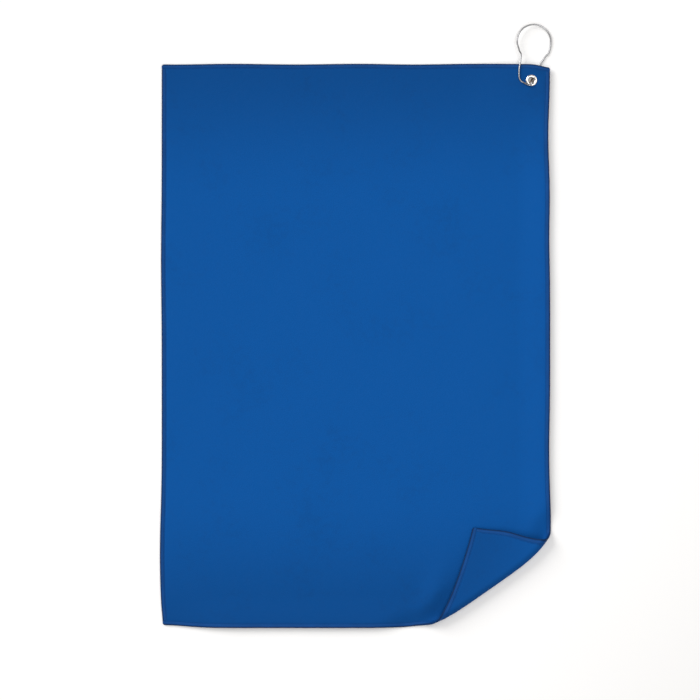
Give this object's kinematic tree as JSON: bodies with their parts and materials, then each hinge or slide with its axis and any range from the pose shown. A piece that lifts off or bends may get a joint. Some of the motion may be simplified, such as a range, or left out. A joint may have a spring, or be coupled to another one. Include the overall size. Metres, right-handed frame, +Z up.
{
  "type": "golf towel",
  "caption": "Flat cloth sports towel with overlocked edges, one corner turned over, an eyelet in another corner and a springy wire hook that clips to a bag.",
  "frame": {"origin": "centre of the towel's flat underside, where it lies on a table", "axes": "+Y along the towel's length, towards the edge with the eyelet; +Z up out of the upper face; the eyelet is in the +X +Y corner and the turned corner is at +X -Y"},
  "size_m": [0.3525, 0.5449, 0.0108],
  "materials": {
    "blue_cloth": "matt fine microfibre",
    "blue_thread": "overlock polyester thread",
    "nickel_plate": "bright nickel plate",
    "steel_wire": "bright drawn spring wire"
  },
  "bodies": {
    "towel": {"towel_panel": "blue_cloth", "edge_thread_top": "blue_thread", "edge_thread_right": "blue_thread", "edge_thread_bottom": "blue_thread", "edge_thread_left": "blue_thread", "eyelet_barrel": "nickel_plate", "eyelet_washer": "nickel_plate"},
    "hook": {"hook_bow": "steel_wire"},
    "gate": {"hook_gate": "steel_wire"}
  },
  "joints": [
    {"name": "hook_swing", "type": "hinge", "parent": "towel", "child": "hook", "pos_m": [0.1583, 0.239, 0.0033], "axis": [0, 0, 1], "range_deg": [-75, 40]},
    {"name": "gate_open", "type": "hinge", "parent": "hook", "child": "gate", "pos_m": [0.1613, 0.24442, 0.0007], "axis": [0, 0, 1], "range_deg": [0, 20], "stiffness_Nm_per_rad": 0.05, "springref_deg": -5.73}
  ]
}
